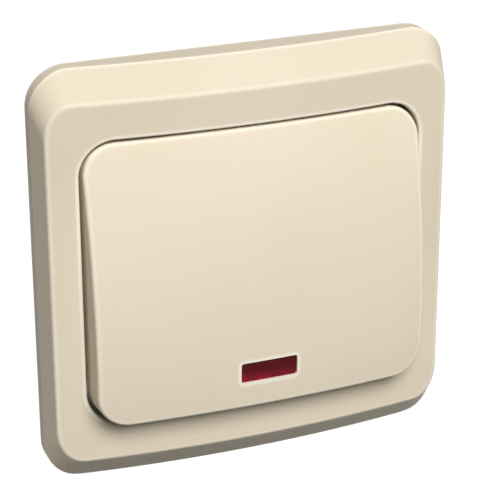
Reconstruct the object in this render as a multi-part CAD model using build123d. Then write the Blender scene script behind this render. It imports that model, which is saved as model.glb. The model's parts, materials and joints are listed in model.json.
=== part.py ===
from build123d import *
from math import degrees, radians, sin, sqrt
import os

# Two-way light switch for a round flush box: a bowed cover frame, a crowned rocker with a
# red light guide, and the change-over mechanism on its steel strap.
# Millimetres. The back of the strap and of the frame is the wall, the plane y = 0. The
# front faces -Y, +Z is up, and the origin is midway between the two box screws.

# Strap and the screws of the wall box, which the width of everything else follows
box_screw_spacing = 60.0
box_slot_width = 3.8
box_slot_length = 7.5
strap_edge = 1.75
strap_corner = 6.0
strap_thickness = 1.0
strap_web = 1.25
strap_lip = 1.4
strap_window_corner = 1.5
lamp_window_play = 0.4
bead_start = 7.0
bead_length = 15.0
bead_width = 2.4
bead_height = 0.5
bead_wall = 0.5
bead_slope = 0.3
bead_inset = 3.6

# Cover frame
frame_margin = 5.5
frame_corner = 7.5
frame_depth = 10.7
face_radius = 246.0
side_bevel_run = 1.4
side_bevel_depth = 4.95
end_bevel_run = 5.5
end_bevel_depth = 5.25
bevel_corner = 7.0
frame_wall = 2.2
frame_soft_edge = 0.7

# Opening of the frame and the collar round it
side_border = 7.2
end_border = 12.5
opening_corner = 7.0
opening_soft_edge = 0.4
collar_wall = 1.6
collar_gap = 0.4
rib_thickness = 1.2
rib_gap = 0.8
side_rib_pitch = 22.0
end_rib_pitch = 26.0

# Latches that hold the frame to the strap
latch_spacing = 16.0
latch_width = 5.0
latch_thickness = 1.4
latch_hook = 1.0
latch_land = 0.75
latch_length = 1.9
latch_root = 0.6
latch_play = 0.15
latch_window_play = 0.4
latch_side_play = 0.6

# Rocker
rocker_side_gap = 0.55
rocker_end_gap = 1.2
rocker_corner = 6.3
rocker_edge_height = 5.5
rocker_crown = 2.65
rocker_skirt = 5.8
rocker_wall = 2.0
rocker_soft_edge = 0.7
rocker_tilt = 6.0
pivot_depth = 5.0
rocker_rib_pitch = 42.0
rocker_rib_drop = 1.8

# Light guide
lens_width = 11.4
lens_height = 4.1
lens_corner = 0.5
lens_lead = 2.0
lens_recess = 0.45
lens_play = 0.04
lens_flange = 1.1
lens_flange_thickness = 0.9
lens_guide_width = 8.0
lens_guide_length = 1.8

# Rocker carrier
carrier_height = 22.0
carrier_front = 3.2
carrier_back = 1.6
carrier_corner = 2.0
recess_side = 4.0
recess_end = 2.5
recess_depth = 1.2
recess_corner = 1.0
trunnion_radius = 1.9
trunnion_clearance = 0.05
trunnion_short = 0.2
boss_radius = 3.2
boss_length = 7.5
boss_collar = 0.6
boss_roof = 1.4
clip_inset = 4.4
clip_pitch_z = 13.0
clip_width = 4.0
clip_thickness = 1.4
clip_hook = 0.8
clip_land = 0.4
clip_tip = 1.0
clip_root = 1.0
clip_ledge = 1.4
clip_play = 0.25

# Plunger and spring
plunger_bore_radius = 2.0
plunger_clearance = 0.06
plunger_gap = 0.05
plunger_head = 4.0
plunger_tip_radius = 1.0
plunger_neck = 1.6
bore_end_height = 1.0
spring_wire = 0.22
spring_radius = 1.5
spring_turns = 5
spring_play = 0.05

# Contact bridge, its knife edge and the contact buttons
bridge_depth = 8.8
bridge_thickness = 0.8
bridge_width = 5.0
bridge_corner = 1.9
bridge_edge = 0.5
bridge_tilt = 7.0
knife_radius = 0.25
knife_clearance = 0.05
knife_height = 3.65
knife_foot = 3.2
contact_offset = 8.0
contact_radius = 1.3
contact_thickness = 0.5
contact_round = 0.2
contact_gap = 0.2

# Mechanism cap
cap_inset = 1.0
cap_corner = 2.5
cap_thickness = 2.0
port_side_play = 1.8
port_end_play = 3.3
port_corner = 2.0
ear_width = 3.4
ear_height = 8.0
ear_gap = 0.6
ear_crest = 2.4
ear_corner = 2.0
snap_slot = 3.2
turret_wall = 1.2
turret_lap = 0.8
turret_play = 0.4
turret_reach = 3.6
turret_rise = 1.6
turret_corner = 0.75

# Mechanism base
base_corner = 3.0
base_rim = 1.26
base_wall = 3.4
base_floor = 3.0
base_chamfer = 1.0
chamber_side_play = 2.0
chamber_end_play = 2.2
chamber_floor_play = 1.55
pocket_lap = 1.0
wall_play = 0.3
entry_radius = 2.2
access_radius = 2.4

# Terminals
pillar_width = 7.0
pillar_height = 7.6
pillar_corner = 0.8
wire_bore_radius = 1.6
wire_bore_length = 7.0
wire_bore_floor = 0.55
strip_thickness = 1.0
strip_width = 5.0
clamp_screw_radius = 1.3
clamp_screw_clearance = 0.05
clamp_screw_stand = 0.8
clamp_head_radius = 1.9
clamp_head_length = 1.8
clamp_slot = 0.5

# Screws that hold strap, cap and base together
plate_screw_inset = 6.5
plate_screw_land = 0.2
plate_screw_wall = 1.06
plate_screw_radius = 1.2
plate_screw_length = 9.0
screw_clearance = 0.15
thread_clearance = 0.04
screw_hole_spare = 1.0
plate_head_radius = 2.2
plate_head_height = 1.3
driver_slot = 0.7

# Shares of a screw's own size: head rounding, driver slot and point
head_round = 0.4
slot_depth = 0.5
point_bevel = 0.3

# Claws
claw_screw_radius = 1.5
claw_screw_length = 12.0
claw_screw_gap = 1.8
claw_head_radius = 2.6
claw_head_height = 1.6
claw_hole_play = 0.2
claw_slot_play = 0.5
claw_slot_edge = 0.1
claw_thickness = 1.2
claw_width = 7.0
claw_drop = 0.4
claw_length = 17.0
claw_tooth = 1.3
claw_tooth_length = 2.4
claw_tooth_slope = 1.2
claw_point = 0.4
claw_notch_width = 2.4
claw_notch_depth = 2.5
claw_gap = 0.3
claw_pivot_clearance = 0.05
claw_seat_play = 0.3

# Indicator lamp
lamp_radius = 1.8
lamp_length = 8.4
lamp_round = 1.26
lamp_front = 2.6
lamp_play = 0.1
lamp_end_play = 0.2
holder_gap = 0.3
holder_wall = 0.3
holder_lip = 0.6
holder_tail = 1.5
lead_radius = 0.3
lead_reach = 1.7
lead_bend = 0.8
lead_play = 0.2
lead_cover = 0.3
lead_back = 6.0
resistor_radius = 1.0
resistor_length = 6.0
resistor_round = 0.4
resistor_start = 2.5
resistor_play = 0.2
resistor_cover = 0.1

# How far a cutting shape runs past the face that it opens
overcut = 1.0

# Widths worked out from the sizes above, from the box screws inwards and outwards
strap_side = box_screw_spacing + box_slot_length + 2 * strap_edge
frame_side = strap_side + 2 * frame_margin
half_side = frame_side / 2
opening_width = frame_side - 2 * side_border
opening_height = frame_side - 2 * end_border
rocker_width = opening_width - 2 * rocker_side_gap
rocker_height = opening_height - 2 * rocker_end_gap
claw_hole_radius = claw_screw_radius + claw_hole_play
claw_screw_x = (box_screw_spacing - box_slot_length) / 2 - strap_web - claw_hole_radius
base_width = 2 * (claw_screw_x - claw_screw_radius - claw_screw_gap)
cap_width = base_width - 2 * cap_inset
strap_window_width = base_width - 2 * strap_lip
ear_outer = strap_window_width / 2 - turret_play - turret_lap
carrier_width = 2 * (ear_outer - ear_width - ear_gap)
trunnion_length = ear_gap + ear_width - trunnion_short
clip_pitch_x = carrier_width - 2 * clip_inset
pillar_offset = base_width / 2 - base_wall - wall_play - pillar_width / 2
plate_screw_x = cap_width / 2 - plate_screw_inset
claw_leg_x = claw_screw_x + claw_screw_radius + claw_slot_play + claw_slot_edge
claw_pivot_x = base_width / 2 + claw_gap

# Heights
strap_window_height = carrier_height + 2 * turret_reach
plate_screw_z = strap_window_height / 2 + plate_screw_land + plate_head_radius
thread_radius = plate_screw_radius + thread_clearance
base_height = 2 * (plate_screw_z + thread_radius + base_rim)
pillar_top = plate_screw_z - thread_radius - plate_screw_wall - wall_play
pillar_rise = pillar_top - pillar_height / 2
bridge_length = 2 * (contact_offset + contact_radius + bridge_edge)
chamber_width = bridge_width + 2 * chamber_side_play
chamber_height = bridge_length + 2 * chamber_end_play
lamp_z = -(base_height / 2 + holder_gap + holder_wall + lamp_radius)
lens_drop = -lamp_z - lens_lead

# Depths
strap_front = -strap_thickness
pivot_y = -pivot_depth
base_front = cap_thickness
claw_front = base_front + claw_drop
claw_pivot_y = claw_front + claw_thickness / 2
plunger_radius = plunger_bore_radius - plunger_clearance
plunger_reach = pivot_depth + bridge_depth - bridge_thickness - plunger_gap
contact_back = (contact_offset + contact_radius) * sin(radians(bridge_tilt))
fixed_face = bridge_depth + contact_thickness + contact_back + contact_gap
fixed_strip = fixed_face + contact_thickness
common_strip = bridge_depth + knife_height
chamber_floor = common_strip + strip_thickness + chamber_floor_play
pillar_end = common_strip + strip_thickness + wire_bore_floor + wire_bore_length
base_back = pillar_end + base_floor
lamp_y = -lamp_front
holder_face = lamp_front + holder_lip
holder_end = resistor_start + resistor_length + holder_tail
lead_offset = lamp_length / 2 + lead_reach
holder_width = 2 * (lead_offset + resistor_radius + resistor_cover)
lead_run = pillar_end - lead_back

# Places of the tilted groups
rocker_place = Pos(0, pivot_y, 0) * Rot(-rocker_tilt, 0, 0)
bridge_place = Pos(0, bridge_depth, 0) * Rot(bridge_tilt, 0, 0)
pillar_places = ((pillar_offset, 0), (-pillar_offset, pillar_rise), (-pillar_offset, -pillar_rise))


def prism(outline, back, front):
    """Extrude an outline of the front view between the planes y = back and y = front."""
    return extrude(Plane.XZ.offset(-back) * outline, back - front)


def side_prism(outline, width, middle=0.0):
    """Extrude an outline of the side view, in y and z, evenly about x = middle."""
    return Pos(middle, 0, 0) * extrude(Plane.YZ * outline, width / 2, both=True)


def rectangle(x_one, x_two, z_one, z_two):
    """A plain rectangle between two opposite corners, given in any order."""
    middle = Pos((x_one + x_two) / 2, (z_one + z_two) / 2)
    return middle * Rectangle(abs(x_two - x_one), abs(z_two - z_one))


def across(radius, length):
    """A cylinder along X through the origin."""
    return Rot(0, 90, 0) * Cylinder(radius, length)


def bow(x):
    """How far the bowed face falls back at a distance x from its middle."""
    return face_radius - sqrt(face_radius**2 - x**2)


def screw(radius, length, head_radius, head_height, slot):
    """A slotted screw along -Z, with the underside of its round head at z = 0."""
    body = Pos(0, 0, -length / 2) * Cylinder(radius, length)
    head = Pos(0, 0, head_height / 2) * Cylinder(head_radius, head_height)
    head = fillet(head.edges().sort_by(Axis.Z)[-1], head_height * head_round)
    depth = head_height * slot_depth
    groove = Pos(0, 0, head_height) * Box(3 * head_radius, slot, 2 * depth)
    tip = chamfer(body.edges().sort_by(Axis.Z)[0], radius * point_bevel)
    return tip + (head - groove)


def cover_form(inset):
    """The solid shape of the cover frame, drawn in by an inset on every side."""
    half = half_side - inset
    crest = frame_depth - inset
    face_half = half - side_bevel_run
    face_end = half - end_bevel_run
    edge = crest - bow(face_half)
    foot = face_half + edge * side_bevel_run / side_bevel_depth
    face = ThreePointArc((-face_half, -edge), (0, -crest), (face_half, -edge))
    walls = Polyline(face @ 1, (foot, 0), (-foot, 0), face @ 0)
    body = extrude(make_face([face, walls]), half + end_bevel_run / 2, both=True)
    wide = half + side_bevel_run
    wide_edge = crest - bow(wide)
    line = ThreePointArc((-wide, -wide_edge), (0, -crest), (wide, -wide_edge))
    far = Polyline(line @ 1, (wide, -3 * crest), (-wide, -3 * crest), line @ 0)
    outside = make_face([line, far])
    for end in (1, -1):
        lean = Vector(0, end_bevel_depth, end * end_bevel_run)
        body -= extrude(Pos(0, 0, end * face_end) * outside, 1.8 * lean.length, dir=lean)
    mitres = []
    for mitre in body.edges():
        middle = mitre.center()
        if abs(middle.X) > face_half and face_end < abs(middle.Z) < half:
            mitres.append(mitre)
    # The rounding of a mitre is no larger than the side edge that it runs down to
    body = fillet(mitres, min(bevel_corner - inset, edge))
    corner = frame_corner - min(inset, frame_corner / 2)
    return body & prism(RectangleRounded(2 * half, 2 * half, corner), 0, -frame_depth)


def softened_cover():
    """The cover's shape with its moulded edges rounded."""
    body = cover_form(0)
    face = body.faces().sort_by(Axis.Y)[0]
    return fillet(face.outer_wire().edges(), frame_soft_edge)


def opening_outline(offset):
    """The rounded outline of the rocker's opening, grown by an offset."""
    width = opening_width + 2 * offset
    height = opening_height + 2 * offset
    return RectangleRounded(width, height, opening_corner + offset)


def latch_line():
    """How far the inner side of a latch leg is from the middle of the frame."""
    return opening_height / 2 + (collar_wall - latch_thickness) / 2


def latch(end, side):
    """One latch leg with its hook behind the strap."""
    root = latch_line()
    top = root + latch_thickness
    start = strap_front - collar_gap - latch_root
    hook = Polyline(
        (start, root), (latch_length, root), (latch_length, top),
        (latch_play + latch_land, top + latch_hook), (latch_play, top + latch_hook),
        (latch_play, top), (start, top), close=True)
    leg = side_prism(make_face(hook), latch_width, side * latch_spacing / 2)
    return leg if end > 0 else mirror(leg, Plane.XY)


def frame_cover():
    """Cover frame: bowed shell, collar round the opening, ribs and four latches."""
    shell = softened_cover() - cover_form(frame_wall)
    ring = opening_outline(collar_wall) - opening_outline(0)
    inside = cover_form(frame_wall / 2)
    shell += prism(ring, strap_front - collar_gap, -frame_depth) & inside
    ribs = Sketch()
    for step in (-1, 0, 1):
        ribs += Pos(0, step * side_rib_pitch) * Rectangle(frame_side, rib_thickness)
        ribs += Pos(step * end_rib_pitch, 0) * Rectangle(rib_thickness, frame_side)
    ribs -= opening_outline(collar_wall / 2)
    shell += prism(ribs, strap_front - rib_gap, -frame_depth) & inside
    shell -= prism(opening_outline(0), 0, -2 * frame_depth)
    front = shell.faces().sort_by(Axis.Y)[0]
    shell = fillet(front.inner_wires()[0].edges(), opening_soft_edge)
    for end in (1, -1):
        for side in (1, -1):
            shell += latch(end, side)
    return shell


def rocker_form(inset):
    """The rocker's crowned block in its own frame, pivot at the origin, drawn in by an inset."""
    half = rocker_height / 2
    crown_radius = (half**2 + rocker_crown**2) / (2 * rocker_crown)
    crest = rocker_edge_height + bow(rocker_width / 2) + rocker_crown
    reach = 1.1 * half
    edge = crest - (crown_radius - sqrt(crown_radius**2 - reach**2))
    front = ThreePointArc((inset - edge, -reach), (inset - crest, 0), (inset - edge, reach))
    back = rocker_skirt - rocker_edge_height
    rest = Polyline(front @ 1, (back, reach), (back, -reach), front @ 0)
    hub = Axis((0, face_radius - crest, 0), (0, 0, 1))
    span = 3 * degrees(rocker_width / 2 / face_radius)
    wedge = revolve(Plane.YZ * make_face([front, rest]), hub, span)
    wedge = wedge.rotate(hub, -span / 2)
    outline = RectangleRounded(
        rocker_width - 2 * inset, rocker_height - 2 * inset, rocker_corner - inset)
    return wedge & prism(outline, back, -2 * crest)


def clip_leg(side, end):
    """One clip leg of the rocker, through its socket in the carrier."""
    inner = (clip_pitch_z - clip_thickness) / 2
    outer = inner + clip_thickness
    under = carrier_back + clip_play
    tip = under + clip_tip
    front = -(rocker_edge_height + clip_root)
    leg = Polyline(
        (front, inner), (tip, inner), (tip, outer), (under + clip_land, outer + clip_hook),
        (under, outer + clip_hook), (under, outer), (front, outer), close=True)
    body = side_prism(make_face(leg), clip_width, side * clip_pitch_x / 2)
    return body if end > 0 else mirror(body, Plane.XY)


def lens_outline(offset):
    """The outline of the light guide's window, grown by an offset."""
    outline = RectangleRounded(
        lens_width + 2 * offset, lens_height + 2 * offset, lens_corner + max(offset, 0))
    return Pos(0, -lens_drop) * outline


def rocker_key():
    """Rocker: crowned shell with skirt, window, ribs and four clip legs."""
    body = rocker_form(0)
    face = body.faces().sort_by(Axis.Y)[0]
    body = fillet(face.outer_wire().edges(), rocker_soft_edge)
    body -= rocker_form(rocker_wall)
    inside = rocker_form(rocker_wall / 2)
    far = -3 * rocker_edge_height
    for side in (1, -1):
        rib = Pos(side * rocker_rib_pitch / 2, 0) * Rectangle(rib_thickness, rocker_height)
        body += prism(rib, -rocker_edge_height + rocker_rib_drop, far) & inside
        for end in (1, -1):
            body += clip_leg(side, end)
            post = Pos(side * clip_pitch_x / 2, end * clip_pitch_z / 2)
            post *= Rectangle(clip_width, clip_thickness)
            body += prism(post, -rocker_edge_height, far) & inside
    body -= prism(lens_outline(0), 0, far)
    return rocker_place * body


def indicator_lens():
    """Red light guide: window block, curved flange behind the face, and guide block."""
    far = -3 * rocker_edge_height
    behind = rocker_wall + lens_play
    back = behind + lens_flange_thickness
    window = prism(lens_outline(-lens_play), 0, far)
    window = (window & rocker_form(lens_recess)) - rocker_form(behind)
    flange = prism(lens_outline(lens_flange), 0, far)
    flange = (flange & rocker_form(behind)) - rocker_form(back)
    guide = Pos(0, -lens_drop) * RectangleRounded(lens_guide_width, lens_height, lens_corner)
    guide = prism(guide, 0, far)
    guide = (guide & rocker_form(back)) - rocker_form(back + lens_guide_length)
    return rocker_place * (window + flange + guide)


def rocker_carrier():
    """Carrier: plate with clip sockets, two trunnions and the plunger's guide."""
    outline = RectangleRounded(carrier_width, carrier_height, carrier_corner)
    body = prism(outline, carrier_back, -carrier_front)
    recess = RectangleRounded(
        carrier_width - 2 * recess_side, clip_pitch_z - 2 * recess_end, recess_corner)
    body -= prism(recess, -carrier_front + recess_depth, -carrier_front - overcut)
    body += across(trunnion_radius, carrier_width + 2 * trunnion_length)
    body += prism(Circle(boss_radius), boss_length, 0)
    body += prism(Circle(boss_radius + boss_collar), 0, -bore_end_height - boss_roof)
    width = clip_width + 2 * clip_play
    height = clip_thickness + 2 * clip_play + clip_hook
    for side in (1, -1):
        for end in (1, -1):
            leg = Pos(side * clip_pitch_x / 2, end * clip_pitch_z / 2)
            socket = leg * Pos(0, end * clip_hook / 2) * Rectangle(width, height)
            body -= prism(socket, carrier_back + overcut, -carrier_front - overcut)
            ledge = leg * Pos(0, end * (clip_thickness / 2 + clip_play + clip_hook / 2))
            ledge *= Rectangle(width, clip_hook)
            body += prism(ledge, carrier_back, carrier_back - clip_ledge)
    body -= prism(Circle(plunger_bore_radius), boss_length, -bore_end_height)
    return rocker_place * body


def plunger():
    """Plunger: stepped pin with a round tip, turned from a half section about its axis."""
    tip = plunger_reach
    shoulder = tip - plunger_neck
    section = Polyline(
        (0, -plunger_head), (plunger_radius, -plunger_head), (plunger_radius, -shoulder))
    nose = RadiusArc(
        (plunger_tip_radius, -(tip - plunger_tip_radius)), (0, -tip), plunger_tip_radius)
    slope = Line(section @ 1, nose @ 0)
    axis_line = Line(nose @ 1, section @ 0)
    half = make_face([section, slope, nose, axis_line])
    pin = revolve(Plane.XZ * half, Axis.Z, 360)
    return rocker_place * (Rot(90, 0, 0) * pin)


def plunger_spring():
    """Compression spring between the blind end of the guide and the plunger."""
    start = -bore_end_height + spring_wire + spring_play
    length = plunger_head - spring_wire - spring_play - start
    path = Helix(length / spring_turns, length, spring_radius)
    section = Plane(path @ 0, z_dir=path % 0) * Circle(spring_wire)
    coil = sweep(section, path)
    return rocker_place * (Pos(0, start, 0) * (Rot(-90, 0, 0) * coil))


def contact_bridge():
    """Moving contact: flat see-saw strip with a round pivot groove across its back."""
    outline = RectangleRounded(bridge_width, bridge_length, bridge_corner)
    body = prism(outline, 0, -bridge_thickness)
    body -= across(knife_radius + knife_clearance, 2 * bridge_width)
    return bridge_place * body


def contact_buttons(back, front, rim_side):
    """Two contact buttons between two planes, with the rim on one side rounded."""
    buttons = []
    for end in (1, -1):
        button = prism(Pos(0, end * contact_offset) * Circle(contact_radius), back, front)
        rim = button.edges().sort_by(Axis.Y)[rim_side]
        buttons.append(fillet(rim, contact_round))
    return buttons


def moving_contacts():
    """The two buttons on the back of the moving contact."""
    buttons = contact_buttons(contact_thickness, 0, -1)
    return Compound(children=[bridge_place * button for button in buttons])


def fixed_contacts():
    """The two buttons on the traveller strips."""
    return Compound(children=contact_buttons(fixed_strip, fixed_face, 0))


def pillar(x, z, start):
    """A wire pillar: block with its wire bore from behind and its clamping thread from outside."""
    side = 1 if x > 0 else -1
    block = Pos(x, z) * RectangleRounded(pillar_width, pillar_height, pillar_corner)
    body = prism(block, pillar_end, start)
    body -= prism(Pos(x, z) * Circle(wire_bore_radius), pillar_end, pillar_end - wire_bore_length)
    thread = across(clamp_screw_radius + clamp_screw_clearance, pillar_width)
    reach = x + side * pillar_width / 2
    return body - Pos(reach, pillar_end - wire_bore_length / 2, z) * thread


def common_terminal():
    """Common pole: knife edge under the bridge, strip and wire pillar."""
    edge = make_face(Polyline(
        (bridge_depth, -knife_radius), (bridge_depth, knife_radius),
        (common_strip, knife_foot / 2), (common_strip, -knife_foot / 2), close=True))
    body = side_prism(edge, bridge_width) + Pos(0, bridge_depth, 0) * across(knife_radius, bridge_width)
    strip = rectangle(-bridge_width / 2, pillar_offset, -strip_width / 2, strip_width / 2)
    body += prism(strip, common_strip + strip_thickness, common_strip)
    return body + pillar(pillar_offset, 0, common_strip)


def traveller(end):
    """Traveller pole: strip under one moving button, and its wire pillar."""
    z = end * contact_offset
    strip = rectangle(-pillar_offset, bridge_width / 2, z - strip_width / 2, z + strip_width / 2)
    body = prism(strip, fixed_strip + strip_thickness, fixed_strip)
    return body + pillar(-pillar_offset, end * pillar_rise, fixed_strip)


def terminal_screws():
    """Three clamping screws, backed off so that the wire bores are clear."""
    length = pillar_width / 2 - wire_bore_radius + clamp_screw_stand
    screws = []
    for x, z in pillar_places:
        side = 1 if x > 0 else -1
        one = screw(clamp_screw_radius, length, clamp_head_radius, clamp_head_length, clamp_slot)
        head = x + side * (wire_bore_radius + length)
        place = Pos(head, pillar_end - wire_bore_length / 2, z) * Rot(0, side * 90, 0)
        screws.append(place * one)
    return Compound(children=screws)


def holder_outline(play):
    """Outline of the lamp holder's nose, grown by a play."""
    half = lamp_radius + holder_wall + play
    side = holder_width / 2 + play
    return rectangle(-side, side, lamp_z - half, lamp_z + half)


def corner_places():
    """The four places of the plate screws in the front view."""
    places = []
    for side in (1, -1):
        for end in (1, -1):
            places.append((side * plate_screw_x, end * plate_screw_z))
    return places


def bead(side, end):
    """One pressed bead of the strap, and the groove that it leaves behind."""
    x = side * (strap_side / 2 - bead_inset)
    place = Pos(x, end * (bead_start + bead_length / 2)) * Rot(0, 0, 90)
    ridge = prism(place * SlotOverall(bead_length, bead_width), strap_front, strap_front - bead_height)
    ridge = chamfer(ridge.edges().group_by(Axis.Y)[0], bead_slope)
    groove = SlotOverall(bead_length - 2 * bead_wall, bead_width - 2 * bead_wall)
    return ridge, prism(place * groove, 0, -bead_height)


def mounting_plate():
    """Strap: pressed steel plate with window, box screw slots, beads and latch windows."""
    outline = RectangleRounded(strap_side, strap_side, strap_corner)
    outline -= RectangleRounded(strap_window_width, strap_window_height, strap_window_corner)
    outline -= holder_outline(lamp_window_play)
    for x, z in corner_places():
        outline -= Pos(x, z) * Circle(plate_screw_radius + screw_clearance)
    low = latch_line() - latch_window_play
    high = latch_line() + latch_thickness + latch_window_play
    half = latch_width / 2 + latch_side_play
    for side in (1, -1):
        slot = SlotOverall(box_slot_length, box_slot_width)
        outline -= Pos(side * box_screw_spacing / 2, 0) * slot
        outline -= Pos(side * claw_screw_x, 0) * Circle(claw_hole_radius)
        for end in (1, -1):
            window = rectangle(-half, half, end * low, end * high)
            outline -= Pos(side * latch_spacing / 2, 0) * window
    body = prism(outline, 0, strap_front)
    for side in (1, -1):
        for end in (1, -1):
            ridge, groove = bead(side, end)
            body = body + ridge - groove
    return body


def mechanism_cap():
    """Cap: flange behind the strap, low turret through its window, and the trunnion ears."""
    body = prism(RectangleRounded(cap_width, base_height, cap_corner), cap_thickness, 0)
    outer_width = strap_window_width - 2 * turret_play
    outer_height = strap_window_height - 2 * turret_play
    ring = RectangleRounded(outer_width, outer_height, strap_window_corner)
    ring -= RectangleRounded(
        outer_width - 2 * turret_wall, outer_height - 2 * turret_wall, turret_corner)
    body += prism(ring, 0, -turret_rise)
    for side in (1, -1):
        ear = rectangle(
            side * (ear_outer - ear_width), side * ear_outer, -ear_height / 2, ear_height / 2)
        ear = prism(ear, 0, pivot_y - ear_crest)
        corners = ear.edges().filter_by(Axis.X).sort_by(Axis.Y)[:2]
        body += fillet(corners, ear_corner)
    for x, z in corner_places():
        hole = Pos(x, z) * Circle(plate_screw_radius + screw_clearance)
        body -= prism(hole, cap_thickness, 0)
    body -= Pos(0, pivot_y, 0) * across(trunnion_radius + trunnion_clearance, 2 * cap_width)
    mouth = Rectangle(2 * cap_width, snap_slot)
    body -= prism(mouth, pivot_y, 2 * pivot_y)
    port = RectangleRounded(
        2 * (boss_radius + port_side_play), 2 * (boss_radius + port_end_play), port_corner)
    return body - prism(port, cap_thickness, 0)


def mechanism_base():
    """Base: insulating housing with the contact chamber, pillar pockets and wire entries."""
    body = prism(RectangleRounded(base_width, base_height, base_corner), base_back, base_front)
    rim = body.faces().sort_by(Axis.Y)[-1].edges()
    body = chamfer(rim, base_chamfer)
    body -= prism(Rectangle(chamber_width, chamber_height), chamber_floor, base_front)
    inner = chamber_width / 2 - pocket_lap
    outer = pillar_offset + pillar_width / 2 + wall_play
    half = pillar_height / 2 + wall_play
    body -= prism(rectangle(inner, outer, -half, half), pillar_end, base_front)
    strip_edge = contact_offset - strip_width / 2 - wall_play
    for end in (1, -1):
        pocket = rectangle(-outer, -inner, end * strip_edge, end * (pillar_rise + half))
        body -= prism(pocket, pillar_end, base_front)
    for x, z in pillar_places:
        body -= prism(Pos(x, z) * Circle(entry_radius), base_back, pillar_end)
        side = 1 if x > 0 else -1
        access = across(access_radius, base_width / 2)
        middle = x + side * (pillar_width / 2 + base_width / 4)
        body -= Pos(middle, pillar_end - wire_bore_length / 2, z) * access
    for x, z in corner_places():
        depth = plate_screw_length - strap_thickness + screw_hole_spare
        body -= prism(Pos(x, z) * Circle(thread_radius), depth, base_front)
    for x, top in ((-pillar_offset, -pillar_top), (pillar_offset, -pillar_height / 2)):
        length = base_height / 2 + top + overcut
        drill = Cylinder(lead_radius + lead_play, length)
        body -= Pos(x, lead_run, top - length / 2) * drill
    seat_radius = claw_thickness / 2 + claw_pivot_clearance
    seat = Cylinder(seat_radius, claw_width + 2 * claw_seat_play)
    for side in (1, -1):
        body -= Pos(side * claw_pivot_x, claw_pivot_y, 0) * seat
    return body


def plate_screws():
    """Four screws through strap and cap into the base."""
    screws = []
    for x, z in corner_places():
        one = screw(plate_screw_radius, plate_screw_length, plate_head_radius,
                    plate_head_height, driver_slot)
        screws.append(Pos(x, strap_front, z) * (Rot(90, 0, 0) * one))
    return Compound(children=screws)


def claw_screws():
    """The two long screws that spread the claws."""
    screws = []
    for side in (1, -1):
        one = screw(claw_screw_radius, claw_screw_length, claw_head_radius,
                    claw_head_height, driver_slot)
        screws.append(Pos(side * claw_screw_x, strap_front, 0) * (Rot(90, 0, 0) * one))
    return Compound(children=screws)


def claw(side):
    """Spreading claw: tab with a rolled pivot edge, slot for its screw, long leg and teeth."""
    outer = claw_leg_x + claw_thickness
    end = claw_front + claw_length
    back = claw_front + claw_thickness
    outline = Polyline(
        (claw_pivot_x, claw_front), (outer, claw_front), (outer, end - claw_tooth_length),
        (outer + claw_tooth, end - claw_tooth_slope), (outer + claw_tooth, end),
        (claw_leg_x + claw_point, end), (claw_leg_x, end - claw_tooth_length),
        (claw_leg_x, back), (claw_pivot_x, back), close=True)
    body = extrude(make_face(outline), claw_width / 2, both=True)
    bend = body.edges().filter_by(Axis.Z).sort_by_distance((outer, claw_front, 0))[0]
    body = fillet(bend, claw_thickness)
    body += Pos(claw_pivot_x, claw_pivot_y, 0) * Cylinder(claw_thickness / 2, claw_width)
    notch = Box(2 * claw_tooth, 2 * claw_notch_depth, claw_notch_width)
    body -= Pos(outer + claw_tooth, end, 0) * notch
    slot = SlotOverall(2 * (claw_screw_radius + claw_slot_play), 2 * claw_hole_radius)
    body -= prism(Pos(claw_screw_x, 0) * slot, back + overcut, claw_front - overcut)
    return body if side > 0 else mirror(body, Plane.YZ)


def lamp_holder():
    """Lamp holder: nose through the strap, trough for the lamp, and grooves for its leads."""
    nose = prism(holder_outline(0), holder_end, -holder_face)
    foot = rectangle(-holder_width / 2, holder_width / 2,
                     lamp_z - lamp_radius - holder_wall, -base_height / 2)
    body = nose + prism(foot, holder_end, base_front)
    trough_radius = lamp_radius + lamp_play
    trough_length = lamp_length + 2 * lamp_end_play
    body -= Pos(0, lamp_y, lamp_z) * across(trough_radius, trough_length)
    mouth = Pos(0, lamp_z) * Rectangle(trough_length, 2 * trough_radius)
    body -= prism(mouth, lamp_y, -2 * holder_face)
    lead_half = lead_radius + lead_play
    groove_half = resistor_radius + resistor_play
    for side in (1, -1):
        groove = rectangle(
            side * (lead_offset - groove_half), side * (holder_width / 2 + overcut),
            lamp_z - groove_half, lamp_z + groove_half)
        body -= prism(groove, holder_end, lamp_y - lead_radius - lead_cover)
        gate = rectangle(
            0, side * (lead_offset + lead_half), lamp_z - lead_half, lamp_z + lead_half)
        body -= prism(gate, lamp_y + lead_half, -2 * holder_face)
    return body


def neon_lamp():
    """Sealed lamp bulb: a glass capsule with rounded ends."""
    tube = Cylinder(lamp_radius, lamp_length)
    tube = fillet(tube.edges(), lamp_round)
    return Pos(0, lamp_y, lamp_z) * (Rot(0, 90, 0) * tube)


def lamp_resistor():
    """Series resistor beside the lamp, its axis front to back."""
    body = Cylinder(resistor_radius, resistor_length)
    body = fillet(body.edges(), resistor_round)
    middle = resistor_start + resistor_length / 2
    return Pos(lead_offset, middle, lamp_z) * (Rot(90, 0, 0) * body)


def bent_lead(points):
    """A round lead along straight runs joined by small bends."""
    path = FilletPolyline(*points, radius=lead_bend)
    return sweep(Plane(path @ 0, z_dir=path % 0) * Circle(lead_radius), path)


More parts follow.
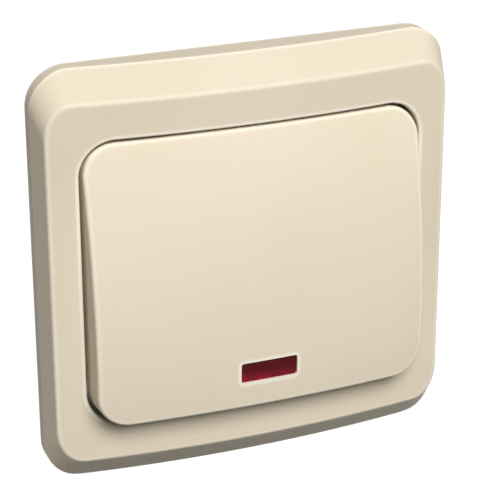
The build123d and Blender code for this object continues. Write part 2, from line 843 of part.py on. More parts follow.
def lamp_leads():
    """Leads: lamp to lower traveller, lamp to resistor, and resistor to the common pole."""
    end = lamp_length / 2
    back = resistor_start + resistor_length
    left = bent_lead([
        (-end, lamp_y, lamp_z), (-lead_offset, lamp_y, lamp_z), (-lead_offset, lead_run, lamp_z),
        (-pillar_offset, lead_run, lamp_z), (-pillar_offset, lead_run, -pillar_top)])
    short = bent_lead([
        (end, lamp_y, lamp_z), (lead_offset, lamp_y, lamp_z), (lead_offset, resistor_start, lamp_z)])
    right = bent_lead([
        (lead_offset, back, lamp_z), (lead_offset, lead_run, lamp_z),
        (pillar_offset, lead_run, lamp_z), (pillar_offset, lead_run, -pillar_height / 2)])
    return Compound(children=[left, short, right])


pieces = {
    "frame_cover": frame_cover,
    "rocker_key": rocker_key,
    "indicator_lens": indicator_lens,
    "rocker_carrier": rocker_carrier,
    "plunger": plunger,
    "plunger_spring": plunger_spring,
    "contact_bridge": contact_bridge,
    "moving_contacts": moving_contacts,
    "mounting_plate": mounting_plate,
    "mechanism_cap": mechanism_cap,
    "mechanism_base": mechanism_base,
    "plate_screws": plate_screws,
    "common_terminal": common_terminal,
    "upper_terminal": lambda: traveller(1),
    "lower_terminal": lambda: traveller(-1),
    "fixed_contacts": fixed_contacts,
    "terminal_screws": terminal_screws,
    "claw_left": lambda: claw(-1),
    "claw_right": lambda: claw(1),
    "claw_screws": claw_screws,
    "lamp_holder": lamp_holder,
    "neon_lamp": neon_lamp,
    "lamp_resistor": lamp_resistor,
    "lamp_leads": lamp_leads,
}

os.makedirs("parts", exist_ok=True)
for name, make in pieces.items():
    export_step(make(), "parts/" + name + ".step")
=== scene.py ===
"""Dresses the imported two-way light switch and sets its stage.
"""

import json
import math

import bmesh
import bpy
from mathutils import Matrix, Vector


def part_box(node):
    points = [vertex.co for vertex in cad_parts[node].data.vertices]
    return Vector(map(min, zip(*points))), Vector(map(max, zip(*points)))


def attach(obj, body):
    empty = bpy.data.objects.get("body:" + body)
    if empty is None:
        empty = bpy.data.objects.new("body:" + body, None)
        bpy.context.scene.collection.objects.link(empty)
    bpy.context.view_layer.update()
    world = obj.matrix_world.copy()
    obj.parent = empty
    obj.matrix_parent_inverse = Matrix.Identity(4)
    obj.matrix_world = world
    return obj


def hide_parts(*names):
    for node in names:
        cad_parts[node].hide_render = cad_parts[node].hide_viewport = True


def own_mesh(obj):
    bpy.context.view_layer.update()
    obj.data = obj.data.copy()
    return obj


bl_info = {
    "name": "Two-way light switch",
    "version": (1, 0, 0),
    "blender": (4, 5, 0),
    "location": "View3D > Sidebar > Switch",
    "description": "Finishes, small parts and stage of a flush two-way light switch",
    "category": "Object",
}

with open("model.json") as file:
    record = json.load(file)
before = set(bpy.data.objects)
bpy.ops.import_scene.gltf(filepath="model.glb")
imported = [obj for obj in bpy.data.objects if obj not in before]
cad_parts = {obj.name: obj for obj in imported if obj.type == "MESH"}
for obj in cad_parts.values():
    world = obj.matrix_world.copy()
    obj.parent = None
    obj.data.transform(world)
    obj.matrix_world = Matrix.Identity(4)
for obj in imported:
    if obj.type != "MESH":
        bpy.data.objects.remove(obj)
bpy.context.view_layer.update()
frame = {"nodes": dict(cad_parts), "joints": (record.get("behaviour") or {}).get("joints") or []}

# The photograph's width in pixels, and the camera sensor's in millimetres.
PHOTO_WIDTH = 484
SENSOR = 36.0

# The sockets of a Mix node that mixes colours, and where the outputs of a skin group go.
FACTOR, LOW, HIGH, MIXED = 0, 6, 7, 2
SKIN = {"Color": "Base Color", "Roughness": "Roughness", "Normal": "Normal"}
WHITE = (1.0, 1.0, 1.0)

# Noises on Object coordinates: cells in a metre, detail and roughness.
PLASTIC_CLOUD = (38.0, 2.0, 0.5)
PLASTIC_SWIRL = (260.0, 4.0, 0.5)
PLASTIC_GRAIN = (5200.0, 2.0, 0.6)
METAL_CLOUD = (150.0, 5.0, 0.62)
METAL_RUB = (900.0, 3.0, 0.5)
METAL_LINES = (3800.0, 3.0, 0.5)
GLASS_HAZE = (700.0, 3.0, 0.5)
RIB_DETAIL = (1.0, 0.5)

# The part of a noise's range that a pattern uses, and what some patterns make of it.
PLASTIC_CLOUD_SPAN = (0.35, 0.75)
METAL_CLOUD_SPAN = (0.42, 0.68)
RIB_SPAN = (0.35, 0.65)
MIDDLE_SPAN = (0.3, 0.7)
RIB_RANGE = (0.55, 1.0)
RUB_RANGE = (0.2, 0.9)
GLASS_ROUGHNESS = (0.03, 0.12)

# Depth of the moulded grain and of the drawn lines, in metres.
GRAIN_RELIEF = 0.00004
LINE_RELIEF = 0.00003

# Stretches that draw a metal's lines along an axis, or leave its pits even.
ALONG_X, ALONG_Y, ALONG_Z = (0.06, 1.0, 1.0), (1.0, 0.06, 1.0), (1.0, 1.0, 0.06)
EVEN = (1.0, 1.0, 1.0)

# Edges: samples and span of their mask, the tint of a highlight painted along a moulded edge,
# and how many times brighter than its sides a rubbed metal edge is.
EDGE_SAMPLES = 8
EDGE_SPAN = (0.87, 0.993)
HIGHLIGHT_TINT = (1.0, 0.94, 0.80)
BURNISH = 1.3

# The light guide's painted light: the share of its window painted lit from below, the painted
# light at its left and right, and the stretch of its upright ribs.
LIT_SHARE = 0.6
LIT_SIDES = (1.0, 0.4)
RIB_STRETCH = (1.0, 1.0, 0.12)

# Plain values of the plastics, of the lamp's glass and of the floor.
PLASTIC_IOR = 1.5
GLASS = {"Base Color": (0.95, 0.93, 0.90), "Transmission Weight": 0.9, "IOR": 1.47}
FLOOR_ROUGHNESS = 0.8
# Where the floor has turned white, in times the reach of its shadow.
SHADOW_END = 1.5

# The resistor's rings: the share of its length at which each stands, and its paint.
RINGS = ((0.22, (0.20, 0.08, 0.03)), (0.38, (0.02, 0.02, 0.02)),
         (0.54, (0.75, 0.55, 0.03)), (0.80, (0.55, 0.42, 0.16)))

# Rise of the spring's closed turns, in wires.
CLOSED_PITCH = 1.05
# How far in front of the undersides of their heads the CAD screws are cut, in metres.
UNDERCUT = 0.00002
# How far the thread's foot is sunk into the shank, in metres, and its width in pitches.
THREAD_SINK = 0.00008
THREAD_FOOT = 0.96
# Points nearer than this are merged, and edges sharper than this stay hard.
MERGE = 1e-6
SHARP = math.radians(40)


def colour(name, description, default):
    """A colour property with its swatch."""
    return bpy.props.FloatVectorProperty(
        name=name, description=description, subtype="COLOR", size=3, min=0, max=1, default=default
    )


def amount(name, description, default, low=0.0, high=1.0):
    """A plain number between two limits."""
    return bpy.props.FloatProperty(
        name=name, description=description, default=default, min=low, max=high
    )


def count(name, description, default, low, high):
    """A whole number between two limits."""
    return bpy.props.IntProperty(
        name=name, description=description, default=default, min=low, max=high
    )


def size(name, description, default):
    """A length in metres."""
    return bpy.props.FloatProperty(
        name=name, description=description, default=default, min=0, unit="LENGTH", precision=5
    )


def turn(name, description, degrees):
    """An angle, given in degrees and kept in radians."""
    return bpy.props.FloatProperty(
        name=name, description=description, default=math.radians(degrees), unit="ROTATION"
    )


class SwitchPlastics(bpy.types.PropertyGroup):
    """Colours and finish of the mouldings, and the light painted on them."""

    ivory: colour("Ivory", "Cover frame", (0.795, 0.70, 0.545))
    ivory_deep: colour("Deep ivory", "Faint darker cloud in the ivory", (0.77, 0.67, 0.51))
    pale: colour("Pale ivory", "Rocker", (0.835, 0.735, 0.575))
    pale_deep: colour("Deep pale ivory", "Faint darker cloud in the rocker", (0.81, 0.705, 0.54))
    gloss: amount("Ivory roughness", "Roughness of the satin ivory face", 0.40)
    sheen: amount("Plastic reflection", "Specular level of the mouldings", 0.08)
    # A highlight painted along the edges of the cover and rocker: how strong, and how far it
    # reaches.
    rim: amount("Rim", "How much paler the handled edges are", 0.75)
    rim_width: size("Rim width", "How far the pale edge reaches", 0.0009)
    red: colour("Lens red", "Body of the light guide", (0.085, 0.002, 0.004))
    red_deep: colour("Deep lens red", "Dark depth of the light guide", (0.07, 0.002, 0.003))
    # Painted light on the foot of the light guide.
    red_lit: colour("Lit lens red", "Lit foot of the light guide", (0.38, 0.012, 0.045))
    lens_sheen: amount("Lens reflection", "Specular level of the light guide", 0.12)
    lens_ribs: amount("Lens ribs", "Upright ribs of the light guide in a metre", 900.0, 0, 9000)
    lens_flange: size("Lens flange", "How far the hidden flange stands out", 0.0011)
    white: colour("White plastic", "Cap and lamp holder", (0.78, 0.77, 0.72))
    grey: colour("Base grey", "Insulating base", (0.62, 0.62, 0.59))
    nylon: colour("Nylon", "Carrier and plunger", (0.70, 0.69, 0.64))
    lacquer: colour("Lacquer", "Body of the resistor", (0.50, 0.36, 0.20))
    lacquer_deep: colour("Deep lacquer", "Clouding of the resistor", (0.42, 0.30, 0.17))
    ring_width: size("Ring width", "Width of a painted ring on the resistor", 0.0006)


class SwitchMetals(bpy.types.PropertyGroup):
    """Colours of the metal parts."""

    zinc: colour("Zinc", "Plated strap, claws and screws", (0.62, 0.61, 0.58))
    zinc_dull: colour("Dull zinc", "Clouding of the plating", (0.45, 0.43, 0.40))
    brass: colour("Brass", "Terminals and bridge", (0.80, 0.60, 0.28))
    brass_dull: colour("Dull brass", "Tarnish of the brass", (0.52, 0.36, 0.15))
    silver: colour("Silver", "Contact buttons", (0.86, 0.85, 0.82))
    steel: colour("Spring steel", "Plunger spring", (0.48, 0.48, 0.48))
    tin: colour("Tinned wire", "Leads of the lamp", (0.70, 0.69, 0.66))


class SwitchSpring(bpy.types.PropertyGroup):
    """Sizes of the plunger's spring."""

    wire: size("Wire", "Diameter of the spring's wire", 0.00044)
    coil: size("Coil radius", "From the spring's axis to the middle of its wire", 0.0015)
    length: size("Length", "Between the middles of the wire at the two ends", 0.00446)
    middle: size("Middle", "From the rocker's pivot to the middle of the spring", 0.0015)
    active: amount("Active turns", "Open turns between the two closed ends", 3.5, 1, 20)
    travel: size("Travel", "How far the spring shortens as the plunger is pushed in", 0.0006)
    sides: count("Wire sides", "Faces round the wire", 12, 6, 48)
    steps: count("Steps", "Steps along one turn", 32, 12, 96)


class SwitchThread(bpy.types.PropertyGroup):
    """Sizes of the thread on the claws' screws."""

    crest: size("Crest radius", "Outer radius of the thread", 0.0015)
    root: size("Root radius", "Radius of the shank under the thread", 0.00123)
    pitch: size("Pitch", "From one thread to the next", 0.0005)
    shank: size("Shank", "Length of the shank behind the head", 0.012)
    plain: size("Plain part", "Length without thread behind the head", 0.0013)
    point: size("Point", "Length of the chamfered point", 0.0006)
    start: size("Start", "From the wall to the underside of the heads", 0.001)
    seat: size("Seat", "How far the shank is sunk into the head", 0.0003)
    sides: count("Sides", "Faces round the shank", 24, 12, 96)


class SwitchStage(bpy.types.PropertyGroup):
    """Camera, lamps and floor."""

    azimuth: turn("Camera azimuth", "Turn of the camera about the upright", -21.45)
    elevation: turn("Camera elevation", "Height of the camera above the horizon", 22.70)
    roll: turn("Camera roll", "Turn of the camera about its line of sight", -0.22)
    distance: size("Camera distance", "From the camera to its target", 0.37236)
    target: bpy.props.FloatVectorProperty(
        name="Camera target", description="Point at the middle of the picture", size=3,
        subtype="TRANSLATION", default=(0.00074, 0.0, 0.00105))
    lens_pixels: amount("Focal length", "In pixels of the photograph's frame", 1933.0, 1, 9000)
    key_power: amount("Key power", "Soft box above the camera", 47.3, 0, 500)
    key_azimuth: turn("Key azimuth", "Where the soft box stands", -1.0)
    key_elevation: turn("Key elevation", "How high the soft box stands", 42.0)
    fill_power: amount("Fill power", "Weak lamp beside and behind the switch", 4.6, 0, 500)
    fill_azimuth: turn("Fill azimuth", "Where the weak lamp stands", -112.0)
    fill_elevation: turn("Fill elevation", "How high the weak lamp stands", 10.0)
    back_power: amount("Back power", "Lamp that shows the mechanism from behind", 42.0, 0, 500)
    back_azimuth: turn("Back azimuth", "Where the back lamp stands", 165.0)
    back_elevation: turn("Back elevation", "How high the back lamp stands", -16.0)
    lamp_size: size("Lamp size", "Side of each lamp", 1.0)
    lamp_distance: size("Lamp distance", "From each lamp to the switch", 2.00)
    ambient: colour("Ambient", "Light from all round", (0.012, 0.012, 0.0122))
    floor_drop: size("Floor drop", "From the switch's middle to the floor", 0.30)
    floor_size: size("Floor size", "Side of the floor", 6.0)
    floor_tint: colour("Floor", "Colour of the floor in the lamps' light", (0.05, 0.05, 0.05))
    floor_glow: amount("Floor glow", "White that the camera sees added near the switch", 0.55)
    shadow_reach: size("Shadow reach", "How far round the switch the floor keeps its shadow", 0.28)


def settings(name):
    """The scene's property group of that name."""
    return getattr(bpy.context.scene, name)


def feed(tree, socket, source):
    """Links a socket to its source, or sets it where the source is a plain value or colour."""
    if isinstance(source, bpy.types.NodeSocket):
        tree.links.new(source, socket)
    elif socket.type == "RGBA":
        socket.default_value = (*source, 1.0)
    else:
        socket.default_value = source


def node(tree, kind, sources=None, **attributes):
    """Adds a shader node, sets its attributes and feeds its sockets."""
    made = tree.nodes.new(kind)
    for key, value in attributes.items():
        setattr(made, key, value)
    for socket, source in (sources or {}).items():
        feed(tree, made.inputs[socket], source)
    return made


def object_place(tree):
    """The Object coordinates."""
    return node(tree, "ShaderNodeTexCoord").outputs["Object"]


def combine(tree, operation, first, second):
    """Two values put together by a Math node."""
    return node(tree, "ShaderNodeMath", {0: first, 1: second}, operation=operation).outputs[0]


def stretch(tree, place, factors):
    """Coordinates multiplied by a factor for each axis."""
    made = node(tree, "ShaderNodeVectorMath", {0: place, 1: factors}, operation="MULTIPLY")
    return made.outputs[0]


def mix_colour(tree, factor, low, high):
    """A mix of two colours, each plain or a socket."""
    made = node(tree, "ShaderNodeMix", {FACTOR: factor, LOW: low, HIGH: high}, data_type="RGBA")
    return made.outputs[MIXED]


def range_of(tree, source, span=(0.0, 1.0), to=(0.0, 1.0)):
    """A value mapped from one span to another, whose ends are plain or sockets."""
    ends = {"From Min": span[0], "From Max": span[1], "To Min": to[0], "To Max": to[1]}
    return node(tree, "ShaderNodeMapRange", {"Value": source, **ends}).outputs[0]


def noise(tree, place, scale, detail, roughness):
    """A noise on coordinates, with scale in cells in a metre."""
    return node(tree, "ShaderNodeTexNoise", {
        "Vector": place, "Scale": scale, "Detail": detail, "Roughness": roughness}).outputs[0]


def edge_mask(tree, width):
    """A mask of the outward edges, from how near the far side of the skin is behind them."""
    inner = node(tree, "ShaderNodeAmbientOcclusion", {"Distance": width},
                 inside=True, only_local=True, samples=EDGE_SAMPLES)
    return range_of(tree, inner.outputs["AO"], EDGE_SPAN, (1.0, 0.0))


def new_skin(name, inputs):
    """An empty group that puts out colour, roughness and normal, and its two end nodes."""
    tree = bpy.data.node_groups.new(name, "ShaderNodeTree")
    for label, kind, default in inputs:
        socket = tree.interface.new_socket(
            name=label, in_out="INPUT", socket_type="NodeSocket" + kind)
        socket.default_value = default
    for label, kind in zip(SKIN, ("Color", "Float", "Vector")):
        tree.interface.new_socket(
            name=label, in_out="OUTPUT", socket_type="NodeSocket" + kind)
    return tree, tree.nodes.new("NodeGroupInput").outputs, tree.nodes.new("NodeGroupOutput").inputs


def uneven_roughness(tree, given, pattern, span):
    """A roughness that a pattern raises from the given one by up to the given spread."""
    most = combine(tree, "ADD", given["Roughness"], given["Spread"])
    return range_of(tree, pattern, span, (given["Roughness"], most))


def relief(tree, strength, height, depth):
    """The normal of a bump."""
    return node(tree, "ShaderNodeBump", {
        "Strength": strength, "Height": height, "Distance": depth}).outputs[0]


def moulded_skin(name):
    """Moulded plastic: faint clouding, a highlight painted along the edges, fine grain and a
    varying gloss.
    """
    tree, given, out = new_skin(name, [
        ("Color", "Color", (0.8, 0.8, 0.8, 1)), ("Cloud", "Color", (0.7, 0.7, 0.7, 1)),
        ("Roughness", "Float", 0.4), ("Spread", "Float", 0.08), ("Grain", "Float", 0.1),
        ("Rim", "Float", 0.0), ("Rim Width", "Float", 0.0005)])
    place = object_place(tree)
    cloud = range_of(tree, noise(tree, place, *PLASTIC_CLOUD), PLASTIC_CLOUD_SPAN)
    body = mix_colour(tree, cloud, given["Color"], given["Cloud"])
    # A highlight painted along the outward edges.
    edge = combine(tree, "MULTIPLY", edge_mask(tree, given["Rim Width"]), given["Rim"])
    feed(tree, out["Color"], mix_colour(tree, edge, body, HIGHLIGHT_TINT))
    swirl = noise(tree, place, *PLASTIC_SWIRL)
    feed(tree, out["Roughness"], uneven_roughness(tree, given, swirl, MIDDLE_SPAN))
    grain = noise(tree, place, *PLASTIC_GRAIN)
    feed(tree, out["Normal"], relief(tree, given["Grain"], grain, GRAIN_RELIEF))
    return tree


def plated_skin(name):
    """Rolled or plated metal: clouding, rubbed bright edges and fine lines or pits."""
    tree, given, out = new_skin(name, [
        ("Color", "Color", (0.6, 0.6, 0.6, 1)), ("Dull", "Color", (0.4, 0.4, 0.4, 1)),
        ("Roughness", "Float", 0.3), ("Spread", "Float", 0.2), ("Lines", "Vector", ALONG_Z),
        ("Depth", "Float", 0.2), ("Bright", "Color", (0.8, 0.8, 0.8, 1)),
        ("Rim Width", "Float", 0.0003)])
    place = object_place(tree)
    cloud = range_of(tree, noise(tree, place, *METAL_CLOUD), METAL_CLOUD_SPAN)
    body = mix_colour(tree, cloud, given["Color"], given["Dull"])
    rub = range_of(tree, noise(tree, place, *METAL_RUB), MIDDLE_SPAN, RUB_RANGE)
    edge = combine(tree, "MULTIPLY", edge_mask(tree, given["Rim Width"]), rub)
    feed(tree, out["Color"], mix_colour(tree, edge, body, given["Bright"]))
    feed(tree, out["Roughness"], uneven_roughness(tree, given, cloud, (0.0, 1.0)))
    lines = noise(tree, stretch(tree, place, given["Lines"]), *METAL_LINES)
    feed(tree, out["Normal"], relief(tree, given["Depth"], lines, LINE_RELIEF))
    return tree


def new_material(name):
    """A node material with its Principled shader."""
    material = bpy.data.materials.new(name)
    material.use_nodes = True
    return material, material.node_tree, material.node_tree.nodes["Principled BSDF"]


def wear_skin(tree, shader, builder, values):
    """Puts a skin group on a shader with its own values. The group is built on first use."""
    group = bpy.data.node_groups.get(builder.__name__) or builder(builder.__name__)
    skin = node(tree, "ShaderNodeGroup", values, node_tree=group)
    for label, socket in SKIN.items():
        feed(tree, shader.inputs[socket], skin.outputs[label])


def plastic(name, body, cloud, roughness, grain, rim=0.0):
    """A moulded plastic material."""
    look = settings("switch_plastics")
    material, tree, shader = new_material(name)
    wear_skin(tree, shader, moulded_skin, {
        "Color": body, "Cloud": cloud, "Roughness": roughness, "Grain": grain,
        "Rim": rim, "Rim Width": look.rim_width})
    shader.inputs["IOR"].default_value = PLASTIC_IOR
    shader.inputs["Specular IOR Level"].default_value = look.sheen
    return material


def metal(name, body, dull, roughness, lines, depth):
    """A metal material with clouding, bright edges and drawn lines or pits."""
    material, tree, shader = new_material(name)
    bright = [min(1.0, BURNISH * part) for part in body]
    wear_skin(tree, shader, plated_skin, {
        "Color": body, "Dull": dull, "Roughness": roughness, "Lines": lines, "Depth": depth,
        "Bright": bright})
    shader.inputs["Metallic"].default_value = 1.0
    return material


def base_colour(material):
    """A material's tree, the socket of its base colour and what feeds that socket."""
    socket = material.node_tree.nodes["Principled BSDF"].inputs["Base Color"]
    return material.node_tree, socket, socket.links[0].from_socket


def dress(material, *names):
    """Gives CAD nodes their material."""
    for name in names:
        piece = frame["nodes"][name]
        piece.data.materials.clear()
        piece.data.materials.append(material)


def new_piece(name, form, material):
    """A finished piece from a bmesh, at the origin and with its place in its mesh."""
    bmesh.ops.recalc_face_normals(form, faces=form.faces)
    mesh = bpy.data.meshes.new(name)
    form.to_mesh(mesh)
    form.free()
    mesh.shade_smooth()
    mesh.set_sharp_from_angle(angle=SHARP)
    mesh.materials.append(material)
    piece = bpy.data.objects.new(name, mesh)
    bpy.context.scene.collection.objects.link(piece)
    return piece


class SWITCH_OT_cover(bpy.types.Operator):
    """Finishes the cover frame"""

    bl_idname = "switch.cover"
    bl_label = "Cover frame"

    def execute(self, context):
        look = settings("switch_plastics")
        # The cover's pale edges are a painted highlight.
        dress(plastic("ivory_frame", look.ivory, look.ivory_deep,
                      roughness=look.gloss, grain=0.10, rim=look.rim), "frame_cover")
        return {"FINISHED"}


class SWITCH_OT_rocker(bpy.types.Operator):
    """Finishes the rocker"""

    bl_idname = "switch.rocker"
    bl_label = "Rocker"

    def execute(self, context):
        look = settings("switch_plastics")
        # The rocker's pale edges are a painted highlight.
        dress(plastic("ivory_rocker", look.pale, look.pale_deep,
                      roughness=look.gloss, grain=0.08, rim=look.rim), "rocker_key")
        return {"FINISHED"}


class SWITCH_OT_lens(bpy.types.Operator):
    """Finishes the red light guide"""

    bl_idname = "switch.lens"
    bl_label = "Light guide"

    def execute(self, context):
        look = settings("switch_plastics")
        material = plastic("red_guide", look.red, look.red_deep, roughness=0.25, grain=0.12)
        tree, socket, skin = base_colour(material)
        socket.node.inputs["Specular IOR Level"].default_value = look.lens_sheen
        # The window's top is painted in shade and its foot painted lit.
        feed(tree, socket, mix_colour(tree, self.glow(tree, look), skin, look.red_lit))
        dress(material, "indicator_lens")
        return {"FINISHED"}

    def glow(self, tree, look):
        """A mask of painted light that rises from the shaded top of the window to its lit foot."""
        low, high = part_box("indicator_lens")
        place = object_place(tree)
        parts = node(tree, "ShaderNodeSeparateXYZ", {0: place}).outputs
        foot = low[2] + look.lens_flange
        head = high[2] - look.lens_flange
        rise = range_of(tree, parts["Z"], (foot, foot + LIT_SHARE * (head - foot)), (1.0, 0.0))
        side = range_of(tree, parts["X"], (low[0], high[0]), LIT_SIDES)
        # The upright ribs streak the painted light.
        ribs = noise(tree, stretch(tree, place, RIB_STRETCH), look.lens_ribs, *RIB_DETAIL)
        lit = combine(tree, "MULTIPLY", rise, side)
        return combine(tree, "MULTIPLY", lit, range_of(tree, ribs, RIB_SPAN, RIB_RANGE))


class SWITCH_OT_mouldings(bpy.types.Operator):
    """Finishes the inner mouldings: carrier, plunger, cap, base and lamp holder"""

    bl_idname = "switch.mouldings"
    bl_label = "Inner mouldings"

    def execute(self, context):
        look = settings("switch_plastics")
        dress(plastic("nylon", look.nylon, look.white, roughness=0.45, grain=0.15),
              "rocker_carrier", "plunger")
        dress(plastic("white_moulding", look.white, look.nylon, roughness=0.42, grain=0.2),
              "mechanism_cap", "lamp_holder")
        dress(plastic("grey_moulding", look.grey, look.white, roughness=0.5, grain=0.3),
              "mechanism_base")
        return {"FINISHED"}


class SWITCH_OT_steel(bpy.types.Operator):
    """Finishes the strap, the claws and the screws"""

    bl_idname = "switch.steel"
    bl_label = "Steel parts"

    def execute(self, context):
        look = settings("switch_metals")
        zinc = (look.zinc, look.zinc_dull)
        dress(metal("zinc_strap", *zinc, roughness=0.3, lines=ALONG_Z, depth=0.25),
              "mounting_plate")
        dress(metal("zinc_claw", *zinc, roughness=0.28, lines=ALONG_Y, depth=0.25),
              "claw_left", "claw_right")
        dress(metal("zinc_screw", *zinc, roughness=0.24, lines=EVEN, depth=0.15),
              "plate_screws", "terminal_screws", "claw_screws")
        return {"FINISHED"}


class SWITCH_OT_spring(bpy.types.Operator):
    """Winds the plunger's spring with closed ends"""

    bl_idname = "switch.spring"
    bl_label = "Plunger spring"

    def execute(self, context):
        look = settings("switch_spring")
        metals = settings("switch_metals")
        joints = {joint["name"]: joint for joint in frame["joints"]}
        axis = Vector(joints["plunger_slide"]["axis"]).normalized()
        centre = Vector(joints["rocker_pivot"]["pos_m"]) - axis * look.middle
        form = self.coil(look)
        turned = axis.to_track_quat("Z", "X").to_matrix().to_4x4()
        bmesh.ops.transform(form, matrix=Matrix.Translation(centre) @ turned, verts=form.verts)
        steel = metal("spring_steel", metals.steel, metals.zinc_dull,
                      roughness=0.3, lines=EVEN, depth=0.1)
        spring = new_piece("spring_coil", form, steel)
        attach(spring, "rocker")
        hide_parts("plunger_spring")
        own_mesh(spring)
        return {"FINISHED"}

    def coil(self, look):
        """Wire wound about Z and centred on the origin, its open turns between closed ones."""
        form = bmesh.new()
        start = Matrix.Translation((look.coil, 0, -look.length / 2))
        bmesh.ops.create_circle(form, cap_ends=True, segments=look.sides, radius=look.wire / 2,
                                matrix=start @ Matrix.Rotation(math.pi / 2, 4, "X"))
        tip = [*form.verts, *form.edges, *form.faces]
        open_rise = look.length - 2 * CLOSED_PITCH * look.wire
        closed = (1.0, CLOSED_PITCH * look.wire)
        for turns, rise in (closed, (look.active, open_rise), closed):
            steps = round(turns * look.steps)
            tip = bmesh.ops.spin(form, geom=tip, cent=(0, 0, 0), axis=(0, 0, 1),
                                 dvec=(0, 0, rise / steps), angle=turns * math.tau,
                                 steps=steps, use_merge=False)["geom_last"]
        return form


class SWITCH_OT_claw_screws(bpy.types.Operator):
    """Threads the two screws that work the claws, under the heads of the CAD screws"""

    bl_idname = "switch.claw_screws"
    bl_label = "Claw screws"

    def execute(self, context):
        look = settings("switch_thread")
        form = bmesh.new()
        form.from_mesh(frame["nodes"]["claw_screws"].data)
        bmesh.ops.remove_doubles(form, verts=form.verts, dist=MERGE)
        bmesh.ops.bisect_plane(
            form, geom=[*form.verts, *form.edges, *form.faces], dist=MERGE,
            plane_co=(0, -look.start - UNDERCUT, 0), plane_no=(0, 1, 0), clear_outer=True)
        bmesh.ops.holes_fill(form, edges=[edge for edge in form.edges if edge.is_boundary])
        right = [vertex.co.x for vertex in form.verts if vertex.co.x > 0]
        reach = (min(right) + max(right)) / 2
        for side in (-reach, reach):
            place = Vector((side, -look.start, 0))
            self.shank(form, look, place)
            self.ridge(form, look, place)
        screws = new_piece("claw_screws_threaded", form, bpy.data.materials["zinc_screw"])
        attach(screws, "mechanism")
        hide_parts("claw_screws")
        return {"FINISHED"}

    def shank(self, form, look, place):
        """The closed shank, turned about its axis from an outline."""
        outline = ((0, -look.seat), (look.crest, -look.seat), (look.crest, look.plain),
                   (look.root, look.plain + look.pitch), (look.root, look.shank - look.point),
                   (look.root - look.point / 2, look.shank), (0, look.shank))
        points = [form.verts.new(place + Vector((out, along, 0))) for out, along in outline]
        line = [form.edges.new(pair) for pair in zip(points, points[1:])]
        bmesh.ops.spin(form, geom=[*points, *line], cent=place, axis=(0, 1, 0),
                       angle=math.tau, steps=look.sides, use_merge=True)
        bmesh.ops.remove_doubles(form, verts=form.verts, dist=MERGE)

    def ridge(self, form, look, place):
        """The closed ridge of the thread, wound round the shank."""
        start = look.plain + look.pitch / 2
        turns = (look.shank - look.point - start) / look.pitch - 1
        steps = round(turns * look.sides)
        sunk = look.root - THREAD_SINK
        half = THREAD_FOOT * look.pitch / 2
        corners = ((sunk, start - half), (look.crest, start), (sunk, start + half))
        face = form.faces.new(
            [form.verts.new(place + Vector((out, along, 0))) for out, along in corners])
        bmesh.ops.spin(form, geom=[*face.verts, *face.edges, face], cent=place, axis=(0, 1, 0),
                       dvec=(0, turns * look.pitch / steps, 0), angle=turns * math.tau,
                       steps=steps, use_merge=False)


class SWITCH_OT_contacts(bpy.types.Operator):
    """Finishes the brass and silver of the contact work"""

    bl_idname = "switch.contacts"
    bl_label = "Contacts"

    def execute(self, context):
        look = settings("switch_metals")
        dress(metal("brass", look.brass, look.brass_dull,
                    roughness=0.26, lines=ALONG_X, depth=0.2),
              "contact_bridge", "common_terminal", "upper_terminal", "lower_terminal")
        dress(metal("silver", look.silver, look.zinc_dull, roughness=0.3, lines=EVEN, depth=0.15),
              "moving_contacts", "fixed_contacts")
        return {"FINISHED"}


class SWITCH_OT_lamp(bpy.types.Operator):
    """Finishes the indicator lamp, its resistor and its leads"""

    bl_idname = "switch.lamp"
    bl_label = "Indicator lamp"

    def execute(self, context):
        metals = settings("switch_metals")
        dress(self.glass(), "neon_lamp")
        dress(self.lacquer(settings("switch_plastics")), "lamp_resistor")
        dress(metal("tinned_lead", metals.tin, metals.zinc_dull,
                    roughness=0.3, lines=EVEN, depth=0.1), "lamp_leads")
        return {"FINISHED"}

    def glass(self):
        """Clear glass with a faint haze."""
        material, tree, shader = new_material("lamp_glass")
        haze = noise(tree, object_place(tree), *GLASS_HAZE)
        roughness = range_of(tree, haze, to=GLASS_ROUGHNESS)
        for label, source in {**GLASS, "Roughness": roughness}.items():
            feed(tree, shader.inputs[label], source)
        return material

    def lacquer(self, look):
        """Lacquer with painted value rings along the resistor's length."""
        material = plastic("resistor_lacquer", look.lacquer, look.lacquer_deep,
                           roughness=0.3, grain=0.1)
        tree, socket, skin = base_colour(material)
        low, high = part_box("lamp_resistor")
        along = node(tree, "ShaderNodeSeparateXYZ", {0: object_place(tree)}).outputs["Y"]
        for share, paint in RINGS:
            middle = low[1] + share * (high[1] - low[1])
            ring = node(tree, "ShaderNodeMath", {0: along, 1: middle, 2: look.ring_width / 2},
                        operation="COMPARE")
            skin = mix_colour(tree, ring.outputs[0], skin, paint)
        feed(tree, socket, skin)
        return material


def aim(thing, place, target, roll=0.0):
    """Puts a lamp or camera at a place and points it at a target."""
    thing.location = place
    turned = (Vector(target) - Vector(place)).to_track_quat("-Z", "Y").to_matrix()
    thing.rotation_euler = (turned @ Matrix.Rotation(roll, 3, "Z")).to_euler()


def sphere_point(azimuth, elevation, distance, centre=(0, 0, 0)):
    """A point round a centre: azimuth 0 is in front, and elevation is above the horizon."""
    back = Vector((math.sin(azimuth) * math.cos(elevation),
                   -math.cos(azimuth) * math.cos(elevation), math.sin(elevation)))
    return Vector(centre) + back * distance


def seen_rays(tree):
    """A value that is 1 for camera, glossy and transmission rays."""
    rays = node(tree, "ShaderNodeLightPath").outputs
    total = rays["Is Camera Ray"]
    for label in ("Is Glossy Ray", "Is Transmission Ray"):
        total = combine(tree, "MAXIMUM", total, rays[label])
    return total


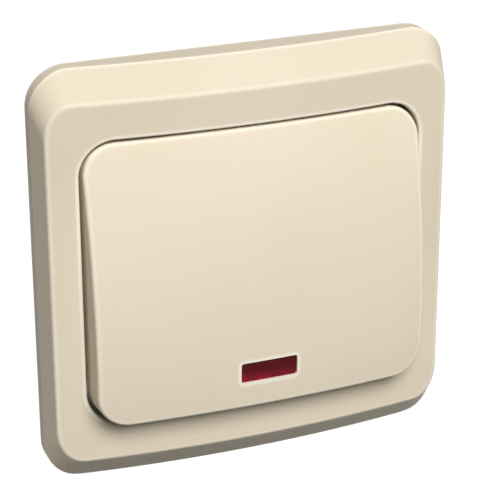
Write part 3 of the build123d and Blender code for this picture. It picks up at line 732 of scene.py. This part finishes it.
class SWITCH_OT_stage(bpy.types.Operator):
    """Makes the camera, the lamps, the floor and the world"""

    bl_idname = "switch.stage"
    bl_label = "Stage"

    def execute(self, context):
        look = settings("switch_stage")
        scene = context.scene
        self.camera(scene, look)
        for name in ("key", "fill", "back"):
            self.lamp(scene, look, name)
        self.floor(scene, look)
        self.world(scene, look)
        scene.view_settings.view_transform = "Standard"
        return {"FINISHED"}

    def camera(self, scene, look):
        """The camera, at the photograph's viewing angle."""
        data = bpy.data.cameras.new("camera")
        data.sensor_width = SENSOR
        data.lens = look.lens_pixels / PHOTO_WIDTH * SENSOR
        data.clip_start = 0.01
        camera = bpy.data.objects.new("camera", data)
        scene.collection.objects.link(camera)
        place = sphere_point(look.azimuth, look.elevation, look.distance, look.target)
        aim(camera, place, look.target, look.roll)
        scene.camera = camera

    def lamp(self, scene, look, name):
        """A square lamp, aimed at the switch."""
        power, azimuth, elevation = (
            getattr(look, f"{name}_{part}") for part in ("power", "azimuth", "elevation"))
        data = bpy.data.lights.new(name, "AREA")
        data.energy = power
        data.size = look.lamp_size
        lamp = bpy.data.objects.new(name, data)
        scene.collection.objects.link(lamp)
        aim(lamp, sphere_point(azimuth, elevation, look.lamp_distance), (0, 0, 0))

    def floor(self, scene, look):
        """The plain floor."""
        mesh = bpy.data.meshes.new("floor")
        form = bmesh.new()
        bmesh.ops.create_grid(form, x_segments=1, y_segments=1, size=look.floor_size / 2,
                              matrix=Matrix.Translation((0, 0, -look.floor_drop)))
        form.to_mesh(mesh)
        form.free()
        floor = bpy.data.objects.new("floor", mesh)
        scene.collection.objects.link(floor)
        mesh.materials.append(self.pale(look))

    def pale(self, look):
        """The floor's material: its own shade near the switch, and white far from it."""
        material, tree, shader = new_material("pale_floor")
        feed(tree, shader.inputs["Base Color"], look.floor_tint)
        feed(tree, shader.inputs["Roughness"], FLOOR_ROUGHNESS)
        away = node(tree, "ShaderNodeVectorMath", {0: object_place(tree)}, operation="LENGTH")
        fade = (look.shadow_reach, SHADOW_END * look.shadow_reach)
        glow = range_of(tree, away.outputs["Value"], fade, (look.floor_glow, 1.0))
        white = node(tree, "ShaderNodeEmission", {
            "Color": WHITE, "Strength": combine(tree, "MULTIPLY", seen_rays(tree), glow)})
        both = node(tree, "ShaderNodeAddShader", {0: shader.outputs[0], 1: white.outputs[0]})
        feed(tree, tree.nodes["Material Output"].inputs["Surface"], both.outputs[0])
        return material

    def world(self, scene, look):
        """A weak light from all round, behind which the camera sees white."""
        world = bpy.data.worlds.new("studio")
        world.use_nodes = True
        tree = world.node_tree
        feed(tree, tree.nodes["Background"].inputs["Color"],
             mix_colour(tree, seen_rays(tree), look.ambient, WHITE))
        scene.world = world


PIECES = (SWITCH_OT_cover, SWITCH_OT_rocker, SWITCH_OT_lens, SWITCH_OT_mouldings,
          SWITCH_OT_steel, SWITCH_OT_spring, SWITCH_OT_claw_screws, SWITCH_OT_contacts,
          SWITCH_OT_lamp, SWITCH_OT_stage)
GROUPS = {"switch_plastics": SwitchPlastics, "switch_metals": SwitchMetals,
          "switch_spring": SwitchSpring, "switch_thread": SwitchThread,
          "switch_stage": SwitchStage}


class SWITCH_PT_panel(bpy.types.Panel):
    """Lists the steps in the sidebar"""

    bl_idname = "SWITCH_PT_panel"
    bl_label = "Two-way light switch"
    bl_space_type = "VIEW_3D"
    bl_region_type = "UI"
    bl_category = "Switch"

    def draw(self, context):
        for piece in PIECES:
            self.layout.operator(piece.bl_idname)


def register():
    """Registers the property groups, operators and panel."""
    for name, group in GROUPS.items():
        bpy.utils.register_class(group)
        setattr(bpy.types.Scene, name, bpy.props.PointerProperty(type=group))
    for made in (*PIECES, SWITCH_PT_panel):
        bpy.utils.register_class(made)


def unregister():
    """Takes them away again."""
    for made in (SWITCH_PT_panel, *reversed(PIECES)):
        bpy.utils.unregister_class(made)
    for name, group in GROUPS.items():
        delattr(bpy.types.Scene, name)
        bpy.utils.unregister_class(group)


def main():
    """Registers the add-on and runs every step in order."""
    register()
    for piece in PIECES:
        group, step = piece.bl_idname.split(".")
        getattr(getattr(bpy.ops, group), step)()


if __name__ == "__main__":
    main()
